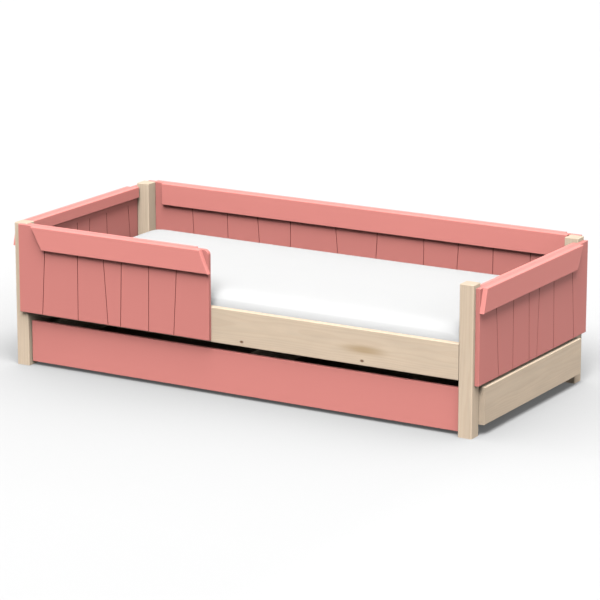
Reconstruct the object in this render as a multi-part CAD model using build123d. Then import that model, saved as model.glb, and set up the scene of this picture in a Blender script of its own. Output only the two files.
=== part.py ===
from build123d import *
import os

# A child's bed on four posts: plank-look panels, slatted base, mattress and a drawer on castors.
# Millimetres. +X runs along the bed towards its open end, +Y to the back and +Z up.
# The origin is on the floor, under the middle of the bed.

# Mattress
mattress_length = 2000
mattress_width = 900
mattress_height = 124
mattress_play = 7
mattress_crown = 8
mattress_end_crown = 4
mattress_draw_in = 5
mattress_edge = 14
mattress_end_edge = 10
mattress_seat_gap = 0.3

# Posts
post_side = 60
post_height = 606
post_edge = 5
post_top_edge = 2.5

# Side rails, the rails across the mattress's ends and the boards across the lower part of each end
rail_thickness = 28
rail_height = 145
rail_bottom = 225
board_edge = 3
end_board_thickness = 45
end_board_height = 150
end_board_bottom = 45
end_board_proud = 25

# Painted panels
panel_thickness = 19
panel_edge = 2
back_inset = 18
guard_length = 927
guard_inset = 33
guard_height = 372
guard_corner = 22
back_height = 369
end_height = 383
end_drop = 15
end_front_inset = {"left": 33, "right": 18}
end_back_inset = 3

# Grooves between the planks
groove_width = 3.6
groove_depth = 3.2
groove_run_under_strip = 20

# Cap strips along the panels' tops
strip_thickness = 19
strip_height = 95
end_inner_strip_height = 48
strip_edge = 3
strip_post_gap = 9
back_strip_inset = 42
guard_strip_short = 71

# Slatted base
ledger_thickness = 28
ledger_height = 40
ledger_end_gap = 20
slat_count = 15
slat_width = 70
slat_thickness = 18
slat_end_play = 4
slat_edge = 4
strap_width = 25
strap_thickness = 1.5
strap_offset = 300

# Drawer
drawer_recess = 20
drawer_side_gap = 3.5
drawer_front_bottom = 16
drawer_front_height = 174
drawer_front_thickness = 19
drawer_wall = 16
drawer_box_inset = 20
drawer_box_bottom = 22
drawer_box_height = 140
drawer_back_gap = 20
drawer_bottom_z = 52
drawer_bottom_thickness = 6
drawer_groove = 6
drawer_groove_play = 0.4
drawer_dowel_above_foot = 14
drawer_dowel_below_rim = 30

# Castors
wheel_radius = 20
wheel_width = 18
wheel_tread_edge = 2
wheel_hub_radius = 8
wheel_rim = 5
wheel_dish = 4
wheel_side_play = 1
axle_radius = 3
axle_head_radius = 5
axle_head = 1.5
running_clearance = 0.05
housing_wall = 2
housing_length = 64
housing_cheek_length = 36
housing_top = 48
housing_foot = 9
housing_shoulder = 16
housing_screw_margin = 3
castor_from_end = 60

# Fastenings
hook_plate_thickness = 3
hook_plate_width = 14
hook_plate_margin = 18
hook_from_end = 20
hook_thickness = 4
hook_neck = 14
hook_drop = 8
hook_lip = 4
hook_play = 0.3
mortise_play = 2
dowel_radius = 4
dowel_in_panel = 12
dowel_in_wall = 9
dowel_in_end = 21
dowel_in_post = 30
dowel_margin = 32
dowel_below_top = 45
screw_radius = 2.5
screw_head_radius = 4.5
screw_head = 2.5
screw_bite = 12
rail_screw_margin = 36
guard_screw_count = 4
back_screw_count = 6
ledger_screw_count = 5
hole_clearance = 0.05

# Plank grooves, each as its distance from the panel's left edge, seen from outside, at the cap
# strip and at the foot
guard_grooves = [(132, 115), (295, 293), (422, 441), (511, 502), (643, 639), (776, 760)]
end_grooves = [(139, 166), (285, 287), (419, 430), (511, 497), (640, 648), (808, 833)]
back_grooves = [(221, 233), (393, 397), (554, 571), (718, 720), (940, 956), (1144, 1119), (1367, 1367),
                (1532, 1512), (1687, 1677), (1866, 1850)]

# How far a slanted outer strip stops short of its panel's left and right edges: foot, then top
guard_strip_ends = (127, 75), (-9, 32)
back_strip_ends = (127, 75), (-9, 32)
end_strip_ends = {"left": ((128, 82), (7, 32)), "right": ((-3, 24), (128, 82))}

# Sizes that follow from the ones above
clear_length = mattress_length + 2 * mattress_play
clear_width = mattress_width + 2 * mattress_play
inner_x = clear_length / 2
outer_x = inner_x + post_side
outer_y = clear_width / 2 + rail_thickness
inner_y = outer_y - post_side
rail_inner_y = outer_y - rail_thickness
rail_top = rail_bottom + rail_height
slat_bottom = rail_bottom + ledger_height
slat_top = slat_bottom + slat_thickness
end_top = post_height - end_drop
board_inner_x = outer_x + end_board_proud - end_board_thickness
left_right = {"left": -1, "right": 1}
front_back = {"front": -1, "back": 1}
corners = {f"{row}_{side}": (sx, sy) for row, sy in front_back.items() for side, sx in left_right.items()}
base = (Align.CENTER, Align.CENTER, Align.MIN)


def block(x, y, z):
    """A box between two values on each axis."""
    spans = [sorted(pair) for pair in (x, y, z)]
    middle = [(low + high) / 2 for low, high in spans]
    return Pos(*middle) * Box(*(high - low for low, high in spans))


def eased(solid, axis, radius):
    """Rounds the edges that run along one axis."""
    return fillet(solid.edges().filter_by(axis), radius)


def rod(start, direction, length, radius):
    """A round bar from a point, along a direction."""
    return Plane(origin=start, z_dir=direction) * Cylinder(radius, length, align=base)


def mirrored(solid, sx, sy):
    """Takes a piece of the right back corner to another corner."""
    if sx < 0:
        solid = mirror(solid, about=Plane.YZ)
    if sy < 0:
        solid = mirror(solid, about=Plane.XZ)
    return solid


def spread(first, last, count):
    """Evenly spaced values, both ends included."""
    return [first + (last - first) * i / (count - 1) for i in range(count)]


class Screw:
    """A headed screw sunk flush at its start; its head bears on the floor of its counterbore."""

    def __init__(self, start, direction, length):
        self.solid = rod(start, direction, screw_head, screw_head_radius)
        self.solid += rod(start, direction, length, screw_radius)
        self.hole = rod(start, direction, screw_head, screw_head_radius + hole_clearance)
        self.hole += rod(start, direction, length + hole_clearance, screw_radius + hole_clearance)


class Dowel:
    """A blind dowel across the joint between two pieces, from a point on their shared face."""

    def __init__(self, face, direction, behind, ahead):
        axis = Vector(*direction)
        start = Vector(*face) - axis * behind
        self.solid = rod(start, axis, behind + ahead, dowel_radius)
        deep = start - axis * hole_clearance
        self.hole = rod(deep, axis, behind + ahead + 2 * hole_clearance, dowel_radius + hole_clearance)


def drilled(solid, fastenings):
    """Cuts the holes of the fastenings that reach into a piece."""
    box = solid.bounding_box()
    for fastening in fastenings:
        if box.overlaps(fastening.hole.bounding_box()):
            solid -= fastening.hole
    return solid


def group(fastenings):
    return Compound(children=[solid for f in fastenings for solid in f.solid.solids()])


# Panels are drawn flat, seen from outside: local X to the right, local Y up, local Z outwards,
# with the origin on the posts' outer face at the panel's lower left corner
guard_left = -outer_x + guard_inset
guard_right = guard_left + guard_length
guard_bottom = post_height - guard_height
back_half = outer_x - back_inset
back_bottom = post_height - back_height
end_front = {side: outer_y - inset for side, inset in end_front_inset.items()}
end_back = outer_y - end_back_inset
end_length = {side: front + end_back for side, front in end_front.items()}
end_bottom = end_top - end_height
guard_plane = Plane((guard_left, -outer_y, guard_bottom), x_dir=(1, 0, 0), z_dir=(0, -1, 0))
back_plane = Plane((back_half, outer_y, back_bottom), x_dir=(-1, 0, 0), z_dir=(0, 1, 0))
end_planes = {
    "left": Plane((-outer_x, end_back, end_bottom), x_dir=(0, -1, 0), z_dir=(-1, 0, 0)),
    "right": Plane((outer_x, -end_front["right"], end_bottom), x_dir=(0, 1, 0), z_dir=(1, 0, 0)),
}


def plank_groove(at_strip, at_foot, height, face):
    """One slanted groove, cut inwards from the outer (1) or inner (-1) face."""
    strip_foot = height - strip_height
    top = strip_foot + groove_run_under_strip
    at_top = at_foot + (at_strip - at_foot) * top / strip_foot
    half = groove_width / 2
    below = -panel_edge
    at_below = at_foot + (at_strip - at_foot) * below / strip_foot
    outline = Polyline(
        (at_below - half, below),
        (at_below + half, below),
        (at_top + half, top),
        (at_top - half, top),
        close=True,
    )
    floor = panel_thickness - groove_depth if face > 0 else 0
    return Pos(0, 0, floor) * extrude(make_face(outline), groove_depth)


def plank_panel(length, height, grooves, corner=0):
    """A painted board with eased edges, grooved on both faces to look like planks."""
    panel = Pos(length / 2, height / 2) * Box(length, height, panel_thickness, align=base)
    if corner:
        top_right = panel.edges().filter_by(Axis.Z).sort_by(Axis.X)[-2:].sort_by(Axis.Y)[-1]
        panel = fillet(top_right, corner)
    rims = panel.faces().filter_by(Axis.Z).edges()
    panel = fillet(rims, panel_edge)
    cuts = [plank_groove(top, foot, height, face) for top, foot in grooves for face in (1, -1)]
    return panel - cuts


def mirrored_grooves(length, grooves):
    return [(length - top, length - foot) for top, foot in grooves]


def slanted_strip(length, height, ends):
    """A cap strip on the outer face, cut to a slant at both ends."""
    (left_foot, left_top), (right_foot, right_top) = ends
    foot = height - strip_height
    outline = Polyline(
        (left_foot, foot),
        (length - right_foot, foot),
        (length - right_top, height),
        (left_top, height),
        close=True,
    )
    strip = Pos(0, 0, panel_thickness) * extrude(make_face(outline), strip_thickness)
    return fillet(strip.faces().sort_by(Axis.Z)[-1].edges(), strip_edge)


def square_strip(left, right, top, height=strip_height):
    """A cap strip on the inner face, with square ends."""
    strip = block((left, right), (top - height, top), (-strip_thickness, 0))
    return fillet(strip.faces().sort_by(Axis.Z)[0].edges(), strip_edge)


# Where the fastenings go
post_mid_x = (inner_x + outer_x) / 2
screw_y = (inner_y + post_edge + rail_inner_y) / 2
guard_fix_x = (guard_left - inner_x - post_edge) / 2
rail_screw_level = (slat_top + rail_top) / 2
post_screw_levels = (slat_top + screw_bite, rail_top - screw_bite)
ledger_screw_level = rail_bottom + ledger_height / 2
through_post = post_side + screw_bite
through_rail = rail_thickness + screw_bite


def panel_fastenings():
    """Screws from inside the bed, below the mattress top, and a blind dowel near the top of each joint."""
    screws, dowels = [], []
    for sx, sy in corners.values():
        for z in post_screw_levels:
            screws.append(Screw((sx * inner_x, sy * screw_y, z), (sx, 0, 0), through_post))
        edge = end_back if sy > 0 else end_front["left" if sx < 0 else "right"]
        overlap_mid = (inner_y + post_edge + edge) / 2
        face = (sx * outer_x, sy * overlap_mid, end_top - dowel_below_top)
        dowels.append(Dowel(face, (sx, 0, 0), dowel_in_end, dowel_in_panel))
    for x, sy in ((guard_fix_x, -1), (-post_mid_x, 1), (post_mid_x, 1)):
        face = (x, sy * outer_y, end_top - 2 * dowel_below_top)
        dowels.append(Dowel(face, (0, sy, 0), dowel_in_end, dowel_in_panel))
    reach = inner_x - rail_screw_margin
    guard_row = spread(-reach, guard_right - rail_screw_margin, guard_screw_count)
    back_row = spread(-reach, reach, back_screw_count)
    for sy, row in ((-1, guard_row), (1, back_row)):
        screws += [Screw((x, sy * rail_inner_y, rail_screw_level), (0, sy, 0), through_rail) for x in row]
    return screws, dowels


def ledger_fastenings():
    start = rail_inner_y - ledger_thickness
    reach = inner_x - ledger_end_gap - ledger_height
    return [
        Screw((x, sy * start, ledger_screw_level), (0, sy, 0), ledger_thickness + screw_bite)
        for sy in front_back.values()
        for x in spread(-reach, reach, ledger_screw_count)
    ]


slat_pitch = (clear_length - slat_count * slat_width) / (slat_count + 1) + slat_width
slat_reach = slat_pitch * (slat_count - 1) / 2


def slat_fastenings():
    ledger_mid = rail_inner_y - ledger_thickness / 2
    return [
        Screw((sx * slat_reach, sy * ledger_mid, slat_top), (0, 0, -1), slat_thickness + screw_bite)
        for sx, sy in corners.values()
    ]


def end_frame_fastenings():
    """Dowels from the ends of the end boards and end rails into the flat part of the posts' faces."""
    board_x = (board_inner_x + outer_x - post_edge) / 2
    board_top = end_board_bottom + end_board_height
    board_levels = spread(end_board_bottom + dowel_margin, board_top - dowel_margin, 3)
    rail_x = (inner_x + post_edge + inner_x + rail_thickness) / 2
    rail_levels = spread(rail_bottom + dowel_margin, rail_top - dowel_margin, 2)
    places = [(board_x, z) for z in board_levels] + [(rail_x, z) for z in rail_levels]
    return [
        Dowel((sx * x, sy * inner_y, z), (0, sy, 0), dowel_in_post, dowel_in_post)
        for sx, sy in corners.values()
        for x, z in places
    ]


# Hook-in rail fittings, drawn for the right back corner
hook_y = outer_y - post_edge - hook_plate_width / 2
hook_plate_z = rail_bottom + hook_plate_margin, rail_top - hook_plate_margin
hook_levels = [hook_plate_z[0] + hook_from_end, hook_plate_z[1] - hook_from_end - hook_neck]
hook_plate_y = hook_y - hook_plate_width / 2, hook_y + hook_plate_width / 2
hook_reach = hook_plate_thickness + hook_play + hook_lip


def around_hook(play):
    return hook_y - hook_thickness / 2 - play, hook_y + hook_thickness / 2 + play


def rail_hook_plate():
    """The plate let into the rail's end, with two hooks that drop into the post's plate."""
    plate = block((inner_x - hook_plate_thickness, inner_x), hook_plate_y, hook_plate_z)
    for z in hook_levels:
        plate += block((inner_x, inner_x + hook_reach), around_hook(0), (z, z + hook_neck))
        lip = inner_x + hook_reach - hook_lip, inner_x + hook_reach
        plate += block(lip, around_hook(0), (z - hook_drop, z + hook_neck))
    return plate


def post_hook_plate():
    """The slotted plate let into the post's face; the hooks' necks rest on its slots' lower ends."""
    plate = block((inner_x, inner_x + hook_plate_thickness), hook_plate_y, hook_plate_z)
    for z in hook_levels:
        slot = z, z + hook_neck + hook_drop + mortise_play
        plate -= block((inner_x, inner_x + hook_plate_thickness), around_hook(hook_play), slot)
    return plate


def hook_mortise():
    """The post's recess for its plate, with a deeper pocket behind each slot."""
    mortise = block((inner_x, inner_x + hook_plate_thickness), hook_plate_y, hook_plate_z)
    for z in hook_levels:
        deep = inner_x, inner_x + hook_reach + mortise_play
        tall = z - hook_drop - mortise_play, z + hook_neck + hook_drop + mortise_play
        mortise += block(deep, around_hook(mortise_play), tall)
    return mortise


def post(sx, sy, fastenings):
    solid = block((sx * inner_x, sx * outer_x), (sy * inner_y, sy * outer_y), (0, post_height))
    solid = eased(solid, Axis.Z, post_edge)
    solid = fillet(solid.faces().sort_by(Axis.Z)[-1].edges(), post_top_edge)
    return drilled(solid - mirrored(hook_mortise(), sx, sy), fastenings)


def side_rail(sy, fastenings):
    solid = block((-inner_x, inner_x), (sy * rail_inner_y, sy * outer_y), (rail_bottom, rail_top))
    solid = eased(solid, Axis.X, board_edge)
    recess = block((inner_x - hook_plate_thickness, inner_x), hook_plate_y, hook_plate_z)
    return drilled(solid - [mirrored(recess, sx, sy) for sx in left_right.values()], fastenings)


def end_rail(sx, fastenings):
    """The rail behind each end panel, flush with the posts' inner faces, that stops the mattress's end."""
    span = sx * inner_x, sx * (inner_x + rail_thickness)
    solid = block(span, (-inner_y, inner_y), (rail_bottom, rail_top))
    return drilled(eased(solid, Axis.Y, board_edge), fastenings)


def end_board(sx, fastenings):
    span = sx * board_inner_x, sx * (outer_x + end_board_proud)
    solid = block(span, (-inner_y, inner_y), (end_board_bottom, end_board_bottom + end_board_height))
    return drilled(eased(solid, Axis.Y, board_edge), fastenings)


def ledger(sy, fastenings):
    half = inner_x - ledger_end_gap
    across = sy * (rail_inner_y - ledger_thickness), sy * rail_inner_y
    return drilled(block((-half, half), across, (rail_bottom, slat_bottom)), fastenings)


def slats(fastenings):
    half = rail_inner_y - slat_end_play
    row = []
    for i in range(slat_count):
        x = -slat_reach + i * slat_pitch
        slat = block((x - slat_width / 2, x + slat_width / 2), (-half, half), (slat_bottom, slat_top))
        row.append(drilled(eased(slat, Axis.Y, slat_edge), fastenings))
    return Compound(children=[slat.solid() for slat in row])


def strap(sy):
    half = slat_reach + slat_width / 2
    across = sy * strap_offset - strap_width / 2, sy * strap_offset + strap_width / 2
    return block((-half, half), across, (slat_bottom - strap_thickness, slat_bottom))


def mattress():
    """A crowned pad whose long sides draw in between its corners."""
    bottom = slat_top + mattress_seat_gap
    top = bottom + mattress_height - mattress_crown
    quarter = mattress_edge * (1 - 0.5**0.5)

    def section(x, half, crown):
        low, high = bottom + mattress_edge, top - mattress_edge
        flat = half - mattress_edge
        outline = [
            Line((-flat, bottom), (flat, bottom)),
            ThreePointArc((flat, bottom), (half - quarter, bottom + quarter), (half, low)),
            Line((half, low), (half, high)),
            ThreePointArc((half, high), (half - quarter, top - quarter), (flat, top)),
            ThreePointArc((flat, top), (0, top + crown), (-flat, top)),
            ThreePointArc((-flat, top), (-half + quarter, top - quarter), (-half, high)),
            Line((-half, high), (-half, low)),
            ThreePointArc((-half, low), (-half + quarter, bottom + quarter), (-flat, bottom)),
        ]
        return Plane((x, 0, 0), x_dir=(0, 1, 0), z_dir=(1, 0, 0)) * make_face(outline)

    end, half = mattress_length / 2, mattress_width / 2
    pad = loft(
        [
            section(-end, half, mattress_end_crown),
            section(0, half - mattress_draw_in, mattress_crown),
            section(end, half, mattress_end_crown),
        ]
    )
    ends = pad.faces().sort_by(Axis.X)
    return fillet(ends[0].edges() + ends[-1].edges(), mattress_end_edge)


# Drawer, worked out from the opening between the posts
front_half = inner_x - drawer_side_gap
front_y = -outer_y + drawer_recess
front_back_y = front_y + drawer_front_thickness
box_half = front_half - drawer_box_inset
box_inner = box_half - drawer_wall
box_back_y = inner_y - drawer_back_gap
box_z = drawer_box_bottom, drawer_box_bottom + drawer_box_height
divider_half = drawer_wall / 2
drawer_dowel_levels = box_z[0] + drawer_dowel_above_foot, box_z[1] - drawer_dowel_below_rim


def drawer_fastenings():
    """Blind dowels of the box: sides and divider to front, back to sides, divider to back."""
    inner_back_y = box_back_y - drawer_wall
    dowels = []
    for z in drawer_dowel_levels:
        for x in (-box_half + divider_half, 0, box_half - divider_half):
            dowels.append(Dowel((x, front_back_y, z), (0, 1, 0), dowel_in_wall, dowel_in_end))
        for sx in left_right.values():
            face = (sx * box_inner, box_back_y - divider_half, z)
            dowels.append(Dowel(face, (-sx, 0, 0), dowel_in_wall, dowel_in_end))
        dowels.append(Dowel((0, inner_back_y, z), (0, -1, 0), dowel_in_wall, dowel_in_end))
    return dowels


def bottom_groove():
    """The groove that both bottom panels run in, as one cutter for all the walls."""
    deep = drawer_groove
    z = drawer_bottom_z, drawer_bottom_z + drawer_bottom_thickness + drawer_groove_play
    y = front_back_y - deep, box_back_y - drawer_wall + deep
    x = divider_half - deep, box_inner + deep
    return [block((sx * x[0], sx * x[1]), y, z) for sx in left_right.values()]


def drawer_walls(fastenings):
    """The front, back, sides and divider by name."""
    y = front_back_y, box_back_y
    inner_back_y = box_back_y - drawer_wall
    front_z = drawer_front_bottom, drawer_front_bottom + drawer_front_height
    front = block((-front_half, front_half), (front_y, front_back_y), front_z)
    front = fillet(front.faces().sort_by(Axis.Y)[0].edges(), panel_edge)
    walls = {
        "drawer_front": front,
        "drawer_back": block((-box_inner, box_inner), (inner_back_y, box_back_y), box_z),
        "drawer_divider": block((-divider_half, divider_half), (front_back_y, inner_back_y), box_z),
    }
    for side, sx in left_right.items():
        wall = block((sx * box_inner, sx * box_half), y, box_z)
        top = wall.faces().sort_by(Axis.Z)[-1].edges().filter_by(Axis.Y)
        walls[f"drawer_side_{side}"] = fillet(top, board_edge)
    return {name: drilled(wall - bottom_groove(), fastenings) for name, wall in walls.items()}


def drawer_bottom(sx):
    """One bottom panel, which lies on the lower lip of its grooves."""
    reach = drawer_groove - drawer_groove_play
    x = sx * (divider_half - reach), sx * (box_inner + reach)
    y = front_back_y - reach, box_back_y - drawer_wall + reach
    return block(x, y, (drawer_bottom_z, drawer_bottom_z + drawer_bottom_thickness))


# Castors, drawn for the right-hand side about an axle at the given Y
cheek_gap = wheel_width + 2 * wheel_side_play
cheek_out = box_inner - housing_wall
cheek_in = cheek_out - cheek_gap
wheel_x = cheek_out - cheek_gap / 2
castor_rows = {"front": front_back_y + castor_from_end, "back": box_back_y - drawer_wall - castor_from_end}
castor_screw_reach = housing_length / 2 - screw_head_radius - housing_screw_margin
castor_screw_z = housing_top - housing_wall - screw_head_radius - housing_screw_margin


def cheek(x, y, length):
    """A side plate of the housing: broad at its top edge, rounded below the axle."""
    half, foot = length / 2, housing_foot
    outline = Polyline(
        (-half, housing_top),
        (-half, housing_top - housing_shoulder),
        (-foot, wheel_radius - foot),
        (foot, wheel_radius - foot),
        (half, housing_top - housing_shoulder),
        (half, housing_top),
        close=True,
    )
    face = Plane((x, y, 0), x_dir=(0, 1, 0), z_dir=(1, 0, 0)) * make_face(outline)
    plate = extrude(face, housing_wall)
    return fillet(plate.edges().filter_by(Axis.X).sort_by(Axis.Z)[:2], foot / 2)


def castor_fastenings(sx, y):
    bite = housing_wall + screw_bite
    places = (y - castor_screw_reach, y + castor_screw_reach)
    return [Screw((sx * cheek_out, place, castor_screw_z), (sx, 0, 0), bite) for place in places]


def castor_housing(sx, y):
    """A bent steel fork whose long cheek is screwed to the drawer's side."""
    top = housing_top - housing_wall, housing_top
    half = housing_cheek_length / 2
    fork = cheek(cheek_out, y, housing_length)
    fork += cheek(cheek_in - housing_wall, y, housing_cheek_length)
    fork += block((cheek_in - housing_wall, box_inner), (y - half, y + half), top)
    fork -= rod((0, y, wheel_radius), (1, 0, 0), outer_x, axle_radius + running_clearance)
    fork = mirror(fork, about=Plane.YZ) if sx < 0 else fork
    return drilled(fork, castor_fastenings(sx, y))


def castor_axle(sx, y):
    start = sx * (cheek_in - housing_wall - axle_head)
    pin = rod((start, y, wheel_radius), (sx, 0, 0), axle_head, axle_head_radius)
    length = axle_head + 2 * housing_wall + cheek_gap - running_clearance
    return pin + rod((start, y, wheel_radius), (sx, 0, 0), length, axle_radius)


def castor_wheel(sx, y):
    """A moulded wheel with a bevelled tread and a dished web."""
    wheel = Cylinder(wheel_radius, wheel_width)
    wheel = chamfer(wheel.edges(), wheel_tread_edge)
    dish = Cylinder(wheel_radius - wheel_rim, wheel_dish) - Cylinder(wheel_hub_radius, wheel_dish)
    for side in (-1, 1):
        wheel -= Pos(0, 0, side * (wheel_width - wheel_dish) / 2) * dish
    wheel -= Cylinder(axle_radius + running_clearance, wheel_width)
    return Plane((sx * wheel_x, y, wheel_radius), x_dir=(0, 1, 0), z_dir=(1, 0, 0)) * wheel


def frame_nodes():
    panel_screws, panel_dowels = panel_fastenings()
    end_dowels = end_frame_fastenings()
    ledger_screws = ledger_fastenings()
    slat_screws = slat_fastenings()
    post_holes = panel_screws + panel_dowels + end_dowels
    nodes = {f"post_{name}": post(sx, sy, post_holes) for name, (sx, sy) in corners.items()}
    for row, sy in front_back.items():
        nodes[f"side_rail_{row}"] = side_rail(sy, panel_screws + ledger_screws)
        nodes[f"slat_ledger_{row}"] = ledger(sy, ledger_screws + slat_screws)
        nodes[f"slat_strap_{row}"] = strap(sy)
    for side, sx in left_right.items():
        nodes[f"end_rail_{side}"] = end_rail(sx, end_dowels)
        nodes[f"end_board_{side}"] = end_board(sx, end_dowels)
    nodes["bed_slats"] = slats(slat_screws)
    nodes["mattress"] = mattress()
    for name, plate in (("rail_hook_plates", rail_hook_plate()), ("post_hook_plates", post_hook_plate())):
        nodes[name] = Compound(children=[mirrored(plate, sx, sy).solid() for sx, sy in corners.values()])
    nodes["panel_screws"] = group(panel_screws)
    nodes["panel_dowels"] = group(panel_dowels)
    nodes["end_frame_dowels"] = group(end_dowels)
    nodes["ledger_screws"] = group(ledger_screws)
    nodes["slat_screws"] = group(slat_screws)
    return nodes


def panel_nodes():
    panel_screws, panel_dowels = panel_fastenings()
    holes = panel_screws + panel_dowels
    guard_start = -guard_left - inner_x
    nodes = {
        "guard_panel": guard_plane * plank_panel(guard_length, guard_height, guard_grooves, guard_corner),
        "back_panel": back_plane * plank_panel(2 * back_half, back_height, back_grooves),
    }
    for side, plane in end_planes.items():
        length = end_length[side]
        grooves = end_grooves if side == "right" else mirrored_grooves(length, end_grooves)
        nodes[f"end_panel_{side}"] = plane * plank_panel(length, end_height, grooves)
    nodes = {name: drilled(panel, holes) for name, panel in nodes.items()}

    inner_left = guard_start + strip_post_gap
    inner_right = guard_length - guard_strip_short
    back_left = back_half - inner_x + strip_post_gap
    back_right = back_half + inner_x - back_strip_inset
    end_reach = inner_y - strip_post_gap
    nodes["guard_strip_outer"] = guard_plane * slanted_strip(guard_length, guard_height, guard_strip_ends)
    nodes["guard_strip_inner"] = guard_plane * square_strip(inner_left, inner_right, guard_height)
    nodes["back_strip_outer"] = back_plane * slanted_strip(2 * back_half, back_height, back_strip_ends)
    nodes["back_strip_inner"] = back_plane * square_strip(back_left, back_right, back_height)
    for side, plane in end_planes.items():
        start = end_back if side == "left" else end_front[side]
        inner = square_strip(start - end_reach, start + end_reach, end_height, end_inner_strip_height)
        nodes[f"end_strip_inner_{side}"] = plane * inner
        outer = slanted_strip(end_length[side], end_height, end_strip_ends[side])
        nodes[f"end_strip_outer_{side}"] = plane * outer
    return nodes


def drawer_nodes():
    castors = [(f"{row}_{side}", sx, y) for row, y in castor_rows.items() for side, sx in left_right.items()]
    castor_screws = [screw for name, sx, y in castors for screw in castor_fastenings(sx, y)]
    dowels = drawer_fastenings()
    nodes = drawer_walls(dowels + castor_screws)
    for side, sx in left_right.items():
        nodes[f"drawer_bottom_{side}"] = drawer_bottom(sx)
    for name, sx, y in castors:
        nodes[f"castor_housing_{name}"] = castor_housing(sx, y)
        nodes[f"castor_wheel_{name}"] = castor_wheel(sx, y)
    nodes["castor_axles"] = Compound(children=[castor_axle(sx, y).solid() for name, sx, y in castors])
    nodes["castor_screws"] = group(castor_screws)
    nodes["drawer_dowels"] = group(dowels)
    return nodes


os.makedirs("parts", exist_ok=True)
for node, shape in {**frame_nodes(), **panel_nodes(), **drawer_nodes()}.items():
    export_step(shape, f"parts/{node}.step")
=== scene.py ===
import math

import bmesh
import bpy
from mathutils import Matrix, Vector


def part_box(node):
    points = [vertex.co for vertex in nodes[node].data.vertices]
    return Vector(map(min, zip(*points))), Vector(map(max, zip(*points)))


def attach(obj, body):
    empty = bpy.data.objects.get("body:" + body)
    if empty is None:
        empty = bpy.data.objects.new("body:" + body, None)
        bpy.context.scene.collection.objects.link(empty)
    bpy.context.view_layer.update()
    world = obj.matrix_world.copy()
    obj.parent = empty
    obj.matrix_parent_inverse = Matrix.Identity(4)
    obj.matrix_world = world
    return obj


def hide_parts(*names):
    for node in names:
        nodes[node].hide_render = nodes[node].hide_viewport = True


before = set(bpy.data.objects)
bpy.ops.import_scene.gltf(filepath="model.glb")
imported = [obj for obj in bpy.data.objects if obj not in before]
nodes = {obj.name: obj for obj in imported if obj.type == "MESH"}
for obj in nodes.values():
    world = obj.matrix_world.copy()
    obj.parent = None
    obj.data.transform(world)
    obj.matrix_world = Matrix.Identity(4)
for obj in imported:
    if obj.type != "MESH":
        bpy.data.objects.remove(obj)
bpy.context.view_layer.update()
scene = bpy.context.scene

# Camera, fitted to the photograph's square frame
camera_place = (6.0739, -10.2031, 3.3192)
camera_azimuth = 30.694
camera_elevation = 14.236
camera_lens = 178.75
camera_sensor = 36.0

# Lamps: direction, share of the level at which a colour renders as it is written, angle in degrees
lamps = {
    "key": ((0.28, -0.26, 0.92), 0.57, 30.0),
    "front": ((0.18, -0.65, 0.74), 0.75, 30.0),
    "right": ((0.91, -0.24, 0.34), 0.17, 40.0),
    "back": ((-0.09, 0.99, 0.07), 0.58, 9.0),
    "left": ((-0.99, -0.05, 0.06), 0.38, 9.0),
}
sky_level = 0.26
background_level = 1.0
bounces = 0

# Floor: its size, the soft shade near what stands on it, and the light that only the camera sees
floor_half = 40.0
floor_cells = 8
contact_reach = 1.5
contact_depth = 0.5
floor_glow = 0.08

# Colours, linear
white = (1, 1, 1, 1)
pink = (0.87, 0.312, 0.278, 1)
# Dark pink of the painted shade in the grooves
groove_shade_pink = (0.30, 0.045, 0.035, 1)
early_wood = (0.865, 0.695, 0.525, 1)
late_wood = (0.69, 0.49, 0.32, 1)
streak_wood = (0.60, 0.42, 0.24, 1)
knot_wood = (0.22, 0.11, 0.055, 1)
dowel_wood = (0.62, 0.43, 0.27, 1)
board_brown = (0.42, 0.29, 0.18, 1)
cover_white = (0.688, 0.688, 0.686, 1)
floor_white = (0.645, 0.645, 0.645, 1)
strap_grey = (0.55, 0.54, 0.50, 1)
zinc_grey = (0.60, 0.61, 0.63, 1)
wheel_black = (0.022, 0.022, 0.024, 1)

# Paint: the tones of the cap strips, of the panels behind them and of the drawer's front; the strips'
# lighter tone is painted light and the panels' darker tone is painted shade, as of panels set back
# behind the strips
paint_tones_lit_and_shaded = {"strip": 1.07, "panel": 0.93, "drawer": 1.02}
paint_drift = 0.025
# How far the painted shade in the grooves reaches
groove_shade_reach = 0.008

# Pine's growth rings: their width, how deep their late wood goes, and how far they wander and lean
ring_width = 0.0055
ring_depth = 0.18
ring_drift = 0.6
ring_wander = 0.012
ring_lean = 0.018
late_rise = (0.25, 0.85)
late_fall = (0.88, 1.0)

# Marks that pine's grain draws out, each as width and length, and the tones and relief that they bring
wander_size = (0.09, 0.55)
cloud_size = (0.045, 0.16)
streak_size = (0.012, 0.35)
fibre_size = (0.0016, 0.06)
cloud_tones = (0.905, 1.08)
streak_tones = (0.955, 1.04)
fibre_tones = (0.98, 1.02)
fibre_relief = 0.4

# Where each board, and each kind of mark on it, starts in the noise, so that no two look alike
board_step = 3.7
mark_starts = (0.0, 11.0, 23.0, 41.0)
lean_step = 2.1
lean_start = 0.6
slat_start = 5.0

# Pine's end grain and gloss
end_tone = 0.83
end_turn = (0.6, 0.9)
lacquer_gloss = 0.25
raw_gloss = 0.04

# Knots on the open half of the front rail, as along, up and radius, and how the rings bend round them
rail_knots = [(0.035, 0.2450, 0.0075), (0.585, 0.2440, 0.0075)]
knot_core = 0.3
knot_bend = 0.010
knot_reach = 0.012
knot_length = 1.6

# The darker streak on the same rail: along and up, half its length and height, and how it fades out
rail_streak = (0.592, 0.2890)
streak_half = (0.120, 0.022)
streak_fade = (0.1, 1.2)
streak_depth = (0.4, 1.3)

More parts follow.
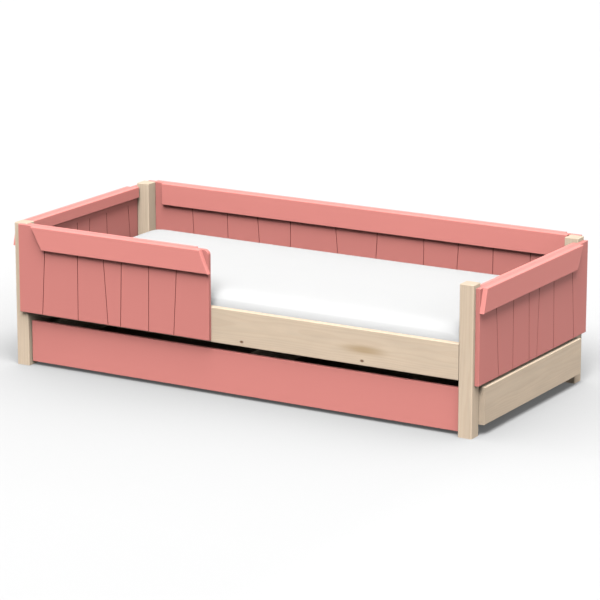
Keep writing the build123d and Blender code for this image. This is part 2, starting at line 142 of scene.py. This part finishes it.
# Mattress: its rounded edge, its crown above the CAD solid, how its top falls to the rim, and its swell
pad_shrink = 0.003
pad_round = 0.012
pad_round_steps = 6
pad_cell = 0.018
pad_rise = 0.0185
pad_edge = 0.0535
pad_edge_width = 0.0225
pad_draw_in = 0.004
pad_swell = 0.003
pad_pressure = 4.0
pad_quality = 4
pad_frames = 20

# Threads to a metre
cover_threads = 620.0
strap_threads = 500.0

# Slats and their straps
slat_count = 15
slat_width = 0.070
strap_sag = 0.0012
strap_thickness = 0.0014
strap_steps = 240


class Shader:
    """One material's node tree, with short calls for the nodes that the finishes share."""

    def __init__(self, name):
        self.material = bpy.data.materials.new(name)
        self.material.use_nodes = True
        self.tree = self.material.node_tree
        self.surface = self.tree.nodes["Principled BSDF"]
        coordinates = self.add("TexCoord").outputs
        self.place = coordinates["Object"]
        self.facing = coordinates["Normal"]

    def feed(self, socket, value):
        """Links an output to a socket, or sets a constant on it."""
        if isinstance(value, bpy.types.NodeSocket):
            self.tree.links.new(value, socket)
        else:
            socket.default_value = value

    def add(self, kind, values=None, **settings):
        """Adds a node with its settings, and feeds its sockets."""
        node = self.tree.nodes.new("ShaderNode" + kind)
        for key, value in settings.items():
            setattr(node, key, value)
        for socket, value in (values or {}).items():
            self.feed(node.inputs[socket], value)
        return node

    def math(self, operation, a, b=0.0):
        return self.add("Math", {0: a, 1: b}, operation=operation).outputs[0]

    def vector(self, x, y, z):
        return self.add("CombineXYZ", {0: x, 1: y, 2: z}).outputs[0]

    def parts(self, vector):
        """A vector's three parts."""
        return self.add("SeparateXYZ", {0: vector}).outputs

    def length(self, x, y):
        return self.add("VectorMath", {0: self.vector(x, y, 0.0)}, operation="LENGTH").outputs["Value"]

    def openness(self, reach, **settings):
        """How open each point's surroundings are, from 0 to 1."""
        return self.add("AmbientOcclusion", {"Distance": reach}, **settings).outputs["AO"]

    def noise(self, vector, scale, detail=3.0, roughness=0.55):
        values = {"Vector": vector, "Scale": scale, "Detail": detail, "Roughness": roughness}
        return self.add("TexNoise", values).outputs["Fac"]

    def grain(self, place, size, start):
        """Noise drawn out along the grain, from places along, across and up it."""
        width, length = size
        along, across, up = place
        drawn = self.vector(
            self.math("ADD", self.math("DIVIDE", along, length), start),
            self.math("DIVIDE", across, width),
            self.math("DIVIDE", up, width),
        )
        return self.noise(drawn, scale=1.0, detail=2.0)

    def smooth(self, value, start, end, to_low=0.0, to_high=1.0):
        """Eases from one value to another between start and end."""
        values = {"Value": value, 1: start, 2: end, 3: to_low, 4: to_high}
        return self.add("MapRange", values, interpolation_type="SMOOTHSTEP").outputs[0]

    def fade(self, value, start, end):
        """Eases from 1 to 0 between start and end."""
        return self.smooth(value, start, end, 1.0, 0.0)

    def span(self, value, low, high):
        """Spreads a value from 0 to 1 over another range."""
        return self.add("MapRange", {"Value": value, 3: low, 4: high}).outputs[0]

    def mix(self, share, a, b):
        return self.add("Mix", {0: share, 6: a, 7: b}, data_type="RGBA").outputs[2]

    def shade(self, colour, share):
        """Multiplies a colour by a grey value."""
        grey = self.add("CombineColor", {0: share, 1: share, 2: share}).outputs[0]
        values = {0: 1.0, 6: colour, 7: grey}
        return self.add("Mix", values, data_type="RGBA", blend_type="MULTIPLY").outputs[2]

    def bump(self, height, distance, strength):
        values = {"Height": height, "Distance": distance, "Strength": strength}
        self.feed(self.surface.inputs["Normal"], self.add("Bump", values).outputs[0])

    def finish(self, **sockets):
        """Sets the surface's own sockets and gives back the material."""
        for name, value in sockets.items():
            self.feed(self.surface.inputs[name.replace("_", " ").title().replace("Ior", "IOR")], value)
        return self.material


def paint_finish(name, tone):
    """Satin paint on smooth board: faintly cloudy, stippled by a roller, and darker in the grooves,
    where the darkening is painted shade.
    """
    s = Shader(f"pink_{name}")
    cloud = s.noise(s.place, scale=2.5)
    stipple = s.noise(s.place, scale=700.0, detail=2.0)
    s.bump(stipple, distance=0.00012, strength=0.35)
    # The tone paints light on the cap strips and shade on the panels behind them
    colour = s.shade(pink, s.span(cloud, (1 - paint_drift) * tone, (1 + paint_drift) * tone))
    # Painted shade: the paint turns to the dark groove pink where its surroundings close in within the
    # groove reach
    colour = s.mix(s.openness(groove_shade_reach, samples=8, only_local=True), groove_shade_pink, colour)
    roughness = s.span(stipple, low=0.44, high=0.56)
    return s.finish(base_color=colour, roughness=roughness, specular_ior_level=0.2)


def knot_marks(s, along, up, knots):
    """How much of each point is knot, and how far the rings bend round the knots."""
    share, bend = 0.0, 0.0
    for knot_along, knot_up, knot_radius in knots:
        run = s.math("DIVIDE", s.math("SUBTRACT", along, knot_along), knot_length)
        distance = s.length(run, s.math("SUBTRACT", up, knot_up))
        far = s.math("POWER", s.math("DIVIDE", distance, knot_reach), 2.0)
        near = s.math("EXPONENT", s.math("MULTIPLY", far, -1.0))
        bend = s.math("ADD", bend, s.math("MULTIPLY", near, knot_bend))
        share = s.math("MAXIMUM", share, s.fade(distance, knot_core * knot_radius, knot_radius))
    return share, bend


def ring_marks(s, place, middle, pith, lean, wander, bend):
    """How much late wood each point has: rings round a pith that leans along the board."""
    along, across, up = place
    drop = s.math("MULTIPLY", s.math("SUBTRACT", along, middle[0]), lean)
    side = s.math("SUBTRACT", across, middle[1] + pith[0])
    rise = s.math("ADD", s.math("SUBTRACT", up, middle[2] + pith[1]), drop)
    radius = s.math("ADD", s.length(side, rise), s.span(wander, -ring_wander, ring_wander))
    ring = s.math("FRACT", s.math("DIVIDE", s.math("ADD", radius, bend), ring_width))
    late = s.math("MULTIPLY", s.smooth(ring, *late_rise), s.fade(ring, *late_fall))
    depth = s.span(wander, (1 - ring_drift) * ring_depth, (1 + ring_drift) * ring_depth)
    return s.math("MULTIPLY", late, depth)


def streak_mark(s, along, up, streak, streaks):
    """How much of each point is the dark streak, broken up by the grain's own streaks."""
    run = s.math("DIVIDE", s.math("SUBTRACT", along, streak[0]), streak_half[0])
    climb = s.math("DIVIDE", s.math("SUBTRACT", up, streak[1]), streak_half[1])
    share = s.fade(s.length(run, climb), *streak_fade)
    return s.math("MULTIPLY", share, s.span(streaks, *streak_depth))


def pine_finish(node, grain, seed, pith, knots=(), streak=None):
    """Pale pine: rings round a pith beside the board, with fibres and clouding along its grain."""
    s = Shader(f"pine_{node}")
    order = {"X": (0, 1, 2), "Y": (1, 0, 2), "Z": (2, 0, 1)}[grain]
    low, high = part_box(node)
    middle = [((low + high) / 2)[i] for i in order]
    axes = s.parts(s.place)
    place = [axes[i] for i in order]
    along, across, up = place
    sizes = (wander_size, cloud_size, streak_size, fibre_size)
    marks = [s.grain(place, size, board_step * seed + start) for size, start in zip(sizes, mark_starts)]
    wander, clouds, streaks, fibre = marks
    knot_share, knot_pull = knot_marks(s, along, up, knots)
    lean = ring_lean * math.sin(lean_step * seed + lean_start)
    late = ring_marks(s, place, middle, pith, lean, wander, knot_pull)

    colour = s.mix(late, early_wood, late_wood)
    for mark, tones in ((clouds, cloud_tones), (streaks, streak_tones), (fibre, fibre_tones)):
        colour = s.shade(colour, s.span(mark, *tones))
    end = s.math("ABSOLUTE", s.parts(s.facing)[order[0]])
    colour = s.mix(s.smooth(end, *end_turn), colour, s.shade(colour, end_tone))
    if streak:
        colour = s.mix(streak_mark(s, along, up, streak, streaks), colour, streak_wood)
    if knots:
        colour = s.mix(knot_share, colour, knot_wood)
    relief = s.math("ADD", s.math("MULTIPLY", fibre, fibre_relief), late)
    s.bump(relief, distance=0.00015, strength=0.5)
    roughness = s.span(fibre, low=0.46, high=0.60)
    gloss = raw_gloss if node.startswith("drawer") else lacquer_gloss
    return s.finish(base_color=colour, roughness=roughness, specular_ior_level=gloss)


def slat_pitch():
    """How far apart the slats' middles lie."""
    low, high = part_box("bed_slats")
    return (high.x - low.x - slat_width) / (slat_count - 1)


def slat_finish():
    """The pine of the slats, each with its own tone."""
    s = Shader("slat_pine")
    x, y, z = s.parts(s.place)
    which = s.math("ROUND", s.math("DIVIDE", x, slat_pitch()))
    tone = s.add("TexWhiteNoise", {"W": which}, noise_dimensions="1D").outputs["Value"]
    streaks = s.grain((y, x, z), streak_size, slat_start)
    s.bump(streaks, distance=0.0002, strength=0.4)
    colour = s.mix(s.span(streaks, low=0.0, high=0.6), early_wood, late_wood)
    colour = s.shade(colour, s.span(tone, low=0.90, high=1.04))
    return s.finish(base_color=colour, roughness=s.span(streaks, low=0.5, high=0.65))


def flecked_finish(name, colour, flecks, tones, relief, roughness, **sockets):
    """A colour with fine flecks, which show in its tone, its relief and its roughness."""
    s = Shader(name)
    fleck = s.noise(s.place, **flecks)
    s.bump(fleck, **relief)
    shaded = s.shade(colour, s.span(fleck, *tones))
    return s.finish(base_color=shaded, roughness=s.span(fleck, *roughness), **sockets)


def hardboard_finish():
    """Smooth brown board with fine flecks."""
    return flecked_finish(
        "hardboard",
        board_brown,
        flecks={"scale": 260.0, "detail": 4.0, "roughness": 0.7},
        tones=(0.82, 1.18),
        relief={"distance": 0.0001, "strength": 0.4},
        roughness=(0.65, 0.8),
        specular_ior_level=0.08,
    )


def dowel_finish():
    """Raw beech with short dark flecks."""
    return flecked_finish(
        "beech_dowel",
        dowel_wood,
        flecks={"scale": 420.0, "detail": 3.0, "roughness": 0.6},
        tones=(0.85, 1.12),
        relief={"distance": 0.0002, "strength": 0.4},
        roughness=(0.6, 0.75),
    )


def zinc_finish():
    """Bright zinc plating with a soft mottle."""
    return flecked_finish(
        "zinc_steel",
        zinc_grey,
        flecks={"scale": 300.0, "detail": 3.0},
        tones=(0.9, 1.1),
        relief={"distance": 0.00005, "strength": 0.3},
        roughness=(0.28, 0.46),
        metallic=1.0,
    )


def wheel_finish():
    """Moulded black plastic with a fine spark texture."""
    return flecked_finish(
        "wheel_plastic",
        wheel_black,
        flecks={"scale": 1800.0, "detail": 2.0},
        tones=(0.85, 1.15),
        relief={"distance": 0.00006, "strength": 0.5},
        roughness=(0.42, 0.58),
    )


def weave(s, threads):
    """Crossing threads, as a height from 0 to 1; threads is how many there are to a metre."""
    turn = 2 * math.pi * threads
    warp, weft, side = (s.math("SINE", s.math("MULTIPLY", axis, turn)) for axis in s.parts(s.place))
    crossing = s.math("ADD", s.math("MULTIPLY", warp, weft), side)
    return s.math("ADD", s.math("MULTIPLY", crossing, 0.25), 0.5)


def cover_finish():
    """White woven mattress cover."""
    s = Shader("mattress_cover")
    s.bump(weave(s, cover_threads), distance=0.00025, strength=0.4)
    cloud = s.noise(s.place, scale=6.0)
    colour = s.shade(cover_white, s.span(cloud, low=0.985, high=1.01))
    return s.finish(base_color=colour, roughness=0.9, sheen_weight=0.12, sheen_roughness=0.5)


def strap_finish():
    """Grey woven webbing."""
    s = Shader("webbing")
    threads = weave(s, strap_threads)
    s.bump(threads, distance=0.0004, strength=0.6)
    colour = s.shade(strap_grey, s.span(threads, low=0.85, high=1.1))
    return s.finish(base_color=colour, roughness=0.85)


def floor_finish():
    """Pale studio floor, a little uneven, shaded softly near the bed and lifted for the camera."""
    s = Shader("studio_floor")
    cloud = s.noise(s.place, scale=0.4)
    colour = s.shade(floor_white, s.span(cloud, low=0.99, high=1.01))
    colour = s.shade(colour, s.span(s.openness(contact_reach), 1 - contact_depth, 1.0))
    glow = s.math("MULTIPLY", s.add("LightPath").outputs["Is Camera Ray"], floor_glow)
    s.finish(emission_color=white, emission_strength=glow)
    return s.finish(base_color=colour, roughness=0.9, specular_ior_level=0.0)


def dress(names, material):
    """Gives CAD nodes a material."""
    for name in names:
        nodes[name].data.materials.clear()
        nodes[name].data.materials.append(material)


def dress_boards():
    """Each pine board gets its own piece of tree: grain axis, seed and where its pith lies."""
    boards = []
    for i, place in enumerate(("front_left", "front_right", "back_left", "back_right")):
        boards.append((f"post_{place}", "Z", 1.3 + i, (0.050 - 0.02 * (i % 2), 0.055)))
    for i, place in enumerate(("left", "right")):
        boards.append((f"end_board_{place}", "Y", 6.2 + i, (-0.09, 0.03)))
        boards.append((f"end_rail_{place}", "Y", 8.4 + i, (0.08, -0.02)))
        boards.append((f"drawer_side_{place}", "Y", 10.5 + i, (0.07, 0.02)))
    for i, place in enumerate(("front", "back")):
        boards.append((f"slat_ledger_{place}", "X", 12.5 + i, (0.05, 0.03)))
    boards.append(("side_rail_back", "X", 15.1, (-0.08, 0.02)))
    boards.append(("drawer_back", "X", 16.3, (0.06, 0.02)))
    boards.append(("drawer_divider", "Y", 17.2, (0.06, -0.02)))
    for name, grain, seed, pith in boards:
        dress([name], pine_finish(name, grain, seed, pith))
    rail = "side_rail_front"
    dress([rail], pine_finish(rail, "X", 14.6, (0.075, 0.018), rail_knots, rail_streak))


def dress_nodes():
    """Gives each CAD node that isn't replaced its finish."""
    pink_starts = ("guard_", "back_panel", "back_strip", "end_panel", "end_strip", "drawer_front")
    pinks = [n for n in nodes if n.startswith(pink_starts)]
    # The strips take a lighter tone as painted light, the panels a darker one as painted shade
    for part, tone in paint_tones_lit_and_shaded.items():
        dress([n for n in pinks if part in n], paint_finish(part, tone))
    dress_boards()
    dress(["bed_slats"], slat_finish())
    dress([n for n in nodes if n.startswith("drawer_bottom")], hardboard_finish())
    dress([n for n in nodes if n.endswith("_dowels")], dowel_finish())
    metal = ("rail_hook", "post_hook", "castor_housing", "castor_axles")
    dress([n for n in nodes if n.startswith(metal) or n.endswith("_screws")], zinc_finish())
    dress([n for n in nodes if n.startswith("castor_wheel")], wheel_finish())


def new_piece(name, shape, material):
    """Turns a bmesh into an object of the scene."""
    mesh = bpy.data.meshes.new(name)
    shape.to_mesh(mesh)
    shape.free()
    mesh.materials.append(material)
    piece = bpy.data.objects.new(name, mesh)
    scene.collection.objects.link(piece)
    return piece


def apply_modifiers(piece):
    """Replaces the piece's mesh by what its modifiers make of it."""
    graph = bpy.context.evaluated_depsgraph_get()
    mesh = bpy.data.meshes.new_from_object(piece.evaluated_get(graph))
    piece.modifiers.clear()
    piece.data = mesh


def pad_lines(half):
    """Grid lines across one side of the pad, close together where its edge is rounded."""
    flat = half - pad_round
    cells = math.ceil(2 * flat / pad_cell)
    inner = [flat * (2 * i / cells - 1) for i in range(cells + 1)]
    turns = [math.tan(math.pi / 4 * i / pad_round_steps) for i in range(1, pad_round_steps + 1)]
    edge = [flat + pad_round * turn for turn in turns]
    return [-x for x in reversed(edge)] + inner + edge


def rounded_box(half):
    """A closed box of quads whose edges and corners are rounded, about the origin."""
    shape = bmesh.new()
    lines = [pad_lines(h) for h in half]
    found = {}

    def corner(point):
        key = tuple(round(c, 6) for c in point)
        if key not in found:
            flat = Vector([max(-h + pad_round, min(h - pad_round, c)) for c, h in zip(point, half)])
            found[key] = shape.verts.new(flat + (Vector(point) - flat).normalized() * pad_round)
        return found[key]

    for axis in range(3):
        u, v = (axis + 1) % 3, (axis + 2) % 3
        for end in (-half[axis], half[axis]):
            grid = []
            for a in lines[u]:
                row = []
                for b in lines[v]:
                    point = [end, end, end]
                    point[u], point[v] = a, b
                    row.append(corner(point))
                grid.append(row)
            for near, far in zip(grid, grid[1:]):
                for i in range(len(near) - 1):
                    shape.faces.new((near[i], far[i], far[i + 1], near[i + 1]))
    bmesh.ops.recalc_face_normals(shape, faces=shape.faces)
    return shape


def swell(piece):
    """Blows the pad up a little as cloth, and stops each point at the cap."""
    rest = [v.co.copy() for v in piece.data.vertices]
    cloth = piece.modifiers.new("swell", "CLOTH")
    settings = cloth.settings
    settings.quality = pad_quality
    settings.use_pressure = True
    settings.uniform_pressure_force = pad_pressure
    settings.effector_weights.gravity = 0.0
    cloth.collision_settings.use_collision = False
    cloth.point_cache.frame_start = 1
    cloth.point_cache.frame_end = pad_frames
    for step in range(1, pad_frames + 1):
        scene.frame_set(step)
    apply_modifiers(piece)
    for vertex, start in zip(piece.data.vertices, rest):
        move = vertex.co - start
        if move.length > pad_swell:
            vertex.co = start + move.normalized() * pad_swell
    scene.frame_set(1)


def make_mattress():
    """A white pad: its crowned top falls off to the rim, and its sides draw in between the corners."""
    low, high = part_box("mattress")
    high.z += pad_rise - pad_edge
    size = high - low - Vector((2, 2, 0)) * pad_shrink
    middle = (low + high) / 2
    half = size / 2
    piece = new_piece("mattress_pad", rounded_box(half), cover_finish())
    for vertex in piece.data.vertices:
        along = max(1 - (vertex.co.x / half.x) ** 2, 0.0)
        across = max(1 - (vertex.co.y / half.y) ** 2, 0.0)
        fall = [math.exp((abs(vertex.co[i]) - half[i]) / pad_edge_width) for i in (0, 1)]
        if vertex.co.z > 0:
            vertex.co.z += pad_edge * (1 - fall[0]) * (1 - fall[1])
        vertex.co.y *= 1 - pad_draw_in * along / half.y
        vertex.co.x *= 1 - pad_draw_in * across / half.x
        vertex.co += middle
    swell(piece)
    for vertex in piece.data.vertices:
        vertex.co.z = max(vertex.co.z, low.z)
    finer = piece.modifiers.new("finer", "SUBSURF")
    finer.levels = finer.render_levels = 1
    apply_modifiers(piece)
    piece.data.shade_smooth()
    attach(piece, "bed_frame")
    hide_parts("mattress")


def make_strap(name, material):
    """A webbing strap under the slats, slack between one slat and the next."""
    low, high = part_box(name)
    first_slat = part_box("bed_slats")[0].x + slat_width / 2
    pitch = slat_pitch()
    shape = bmesh.new()
    rows = []
    for i in range(strap_steps + 1):
        x = low.x + (high.x - low.x) * i / strap_steps
        phase = (x - first_slat) / pitch
        top = high.z - strap_sag * math.sin(math.pi * phase) ** 2
        foot = top - strap_thickness
        corners = ((low.y, top), (high.y, top), (high.y, foot), (low.y, foot))
        rows.append([shape.verts.new((x, y, z)) for y, z in corners])
    for a, b in zip(rows, rows[1:]):
        for i in range(4):
            j = (i + 1) % 4
            shape.faces.new((a[i], a[j], b[j], b[i]))
    shape.faces.new(rows[0])
    shape.faces.new(rows[-1])
    bmesh.ops.recalc_face_normals(shape, faces=shape.faces)
    piece = new_piece(name.replace("slat_strap", "webbing"), shape, material)
    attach(piece, "bed_frame")
    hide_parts(name)


def make_floor():
    """A wide flat floor under the bed."""
    shape = bmesh.new()
    bmesh.ops.create_grid(shape, x_segments=floor_cells, y_segments=floor_cells, size=floor_half)
    new_piece("studio_floor", shape, floor_finish())


def place_lamps():
    """Soft lamps, each from its direction with its level and angle; only their direct light is kept."""
    for name, (direction, level, angle) in lamps.items():
        lamp = bpy.data.objects.new(name, bpy.data.lights.new(name, "SUN"))
        lamp.data.energy = math.pi * level
        lamp.data.angle = math.radians(angle)
        lamp.rotation_euler = Vector(direction).to_track_quat("Z", "Y").to_euler()
        scene.collection.objects.link(lamp)
    scene.cycles.diffuse_bounces = bounces


def make_world():
    """An even sky that lights the bed, and a white background for what the camera and gloss see."""
    world = bpy.data.worlds.new("studio")
    world.use_nodes = True
    scene.world = world
    tree = world.node_tree
    tree.nodes.clear()

    def add(kind, **settings):
        node = tree.nodes.new("ShaderNode" + kind)
        for key, value in settings.items():
            setattr(node, key, value)
        return node

    sky, background = add("Background"), add("Background")
    blend, path = add("MixShader"), add("LightPath")
    for light, strength in ((sky, sky_level), (background, background_level)):
        light.inputs["Color"].default_value = white
        light.inputs["Strength"].default_value = strength
    seen = path.outputs["Is Camera Ray"]
    for ray in ("Is Glossy Ray", "Is Transmission Ray"):
        either = add("Math", operation="MAXIMUM")
        tree.links.new(seen, either.inputs[0])
        tree.links.new(path.outputs[ray], either.inputs[1])
        seen = either.outputs[0]
    tree.links.new(seen, blend.inputs[0])
    tree.links.new(sky.outputs[0], blend.inputs[1])
    tree.links.new(background.outputs[0], blend.inputs[2])
    tree.links.new(blend.outputs[0], add("OutputWorld").inputs["Surface"])


def place_camera():
    """The camera at the photograph's viewing angle."""
    camera = bpy.data.objects.new("camera", bpy.data.cameras.new("camera"))
    camera.data.lens = camera_lens
    camera.data.sensor_width = camera_sensor
    camera.location = camera_place
    camera.rotation_euler = (math.radians(90 - camera_elevation), 0, math.radians(camera_azimuth))
    scene.collection.objects.link(camera)
    scene.camera = camera


dress_nodes()
make_mattress()
webbing = strap_finish()
make_strap("slat_strap_front", webbing)
make_strap("slat_strap_back", webbing)
make_floor()
place_lamps()
make_world()
place_camera()
scene.view_settings.view_transform = "Standard"
